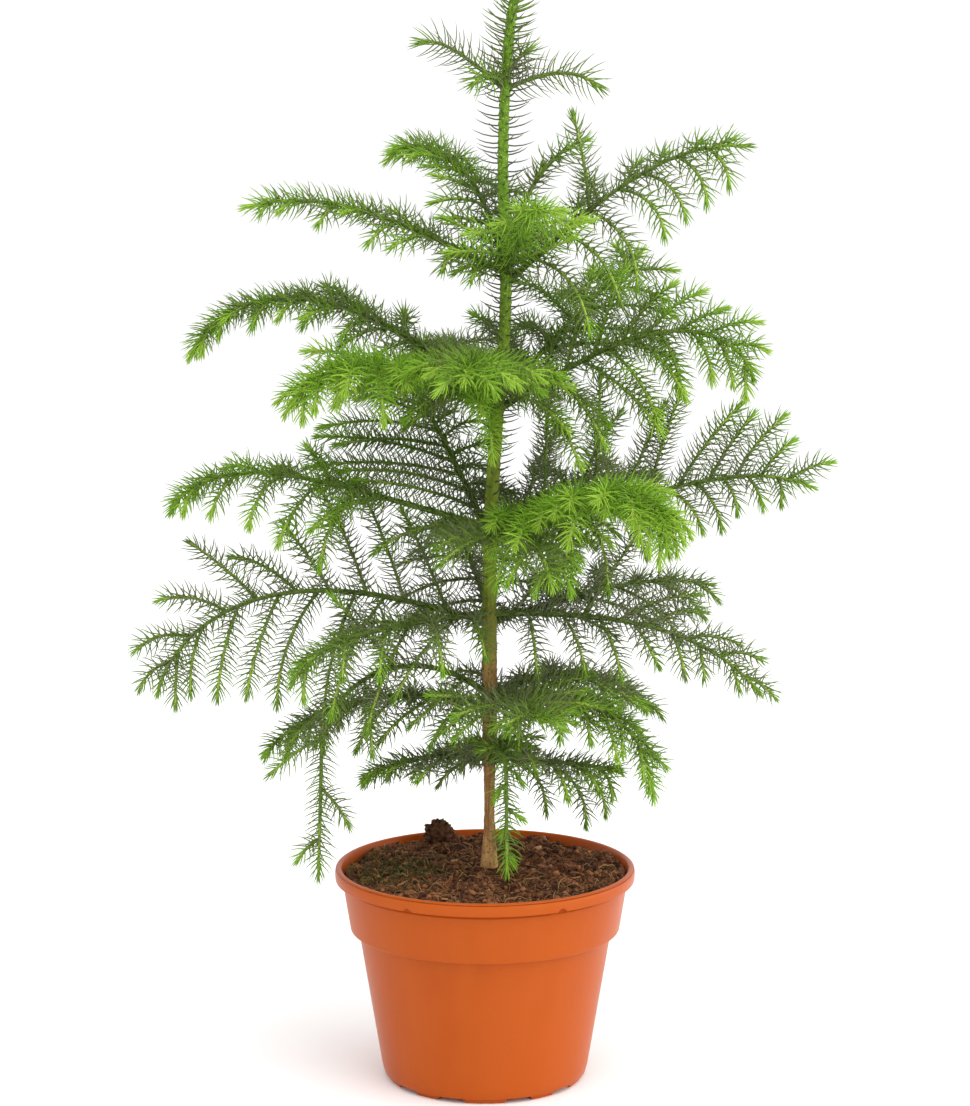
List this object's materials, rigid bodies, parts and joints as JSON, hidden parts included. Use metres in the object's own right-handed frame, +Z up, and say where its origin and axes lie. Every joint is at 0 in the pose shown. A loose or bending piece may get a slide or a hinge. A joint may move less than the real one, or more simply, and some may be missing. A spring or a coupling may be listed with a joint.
{
  "type": "potted norfolk island pine",
  "caption": "Young norfolk island pine with an upright leader and tiered whorls of needled boughs, standing in a round tapered plastic nursery pot filled with peat soil.",
  "frame": {"origin": "centre of the pot's flat underside", "axes": "+Z up along the stem, -Y towards the viewer of the picture, +X to the picture's right"},
  "size_m": [0.3957, 0.3193, 0.6244],
  "materials": {
    "pot": "satin moulded orange terracotta plastic",
    "soil": "moist brown peat with coir fibre and bark chips",
    "bark": "brown scaly bark below, green young shoot above",
    "needles": "soft awl-shaped needles, dark green inside and bright yellow-green at the tips"
  },
  "bodies": {
    "root": {"pot": "pot", "soil": "soil", "trunk": "bark", "bough_tier2_left": "bark", "bough_tier2_back_left": "bark", "bough_tier2_back_right": "bark", "bough_tier2_right": "bark", "bough_tier2_front": "bark", "bough_tier3_left": "bark", "bough_tier3_back": "bark", "bough_tier3_back_right": "bark", "bough_tier3_right": "bark", "bough_tier3_front": "bark", "bough_tier3_front_left": "bark", "bough_tier4_left": "bark", "bough_tier4_back_left": "bark", "bough_tier4_back_right": "bark", "bough_tier4_right": "bark", "bough_tier4_front_right": "bark", "bough_tier4_front": "bark", "bough_tier5_front_left": "bark", "bough_tier5_left": "bark", "bough_tier5_back": "bark", "bough_tier5_back_right": "bark", "bough_tier5_right": "bark", "foliage_tier1_front": "needles", "foliage_tier1_left": "needles", "foliage_tier1_back": "needles", "foliage_tier1_right": "needles", "foliage_tier2_left": "needles", "foliage_tier2_back_left": "needles", "foliage_tier2_back_right": "needles", "foliage_tier2_right": "needles", "foliage_tier2_front": "needles", "foliage_tier3_left": "needles", "foliage_tier3_back": "needles", "foliage_tier3_back_right": "needles", "foliage_tier3_right": "needles", "foliage_tier3_front": "needles", "foliage_tier3_front_left": "needles", "foliage_tier4_left": "needles", "foliage_tier4_back_left": "needles", "foliage_tier4_back_right": "needles", "foliage_tier4_right": "needles", "foliage_tier4_front_right": "needles", "foliage_tier4_front": "needles", "foliage_tier5_front_left": "needles", "foliage_tier5_left": "needles", "foliage_tier5_back": "needles", "foliage_tier5_back_right": "needles", "foliage_tier5_right": "needles", "foliage_tier6_front_left": "needles", "foliage_tier6_left": "needles", "foliage_tier6_back_right": "needles", "foliage_tier6_right": "needles", "foliage_tier6_front_right": "needles", "foliage_tier7_left": "needles", "foliage_tier7_back": "needles", "foliage_tier7_right": "needles", "foliage_tier7_front": "needles"}
  },
  "joints": []
}
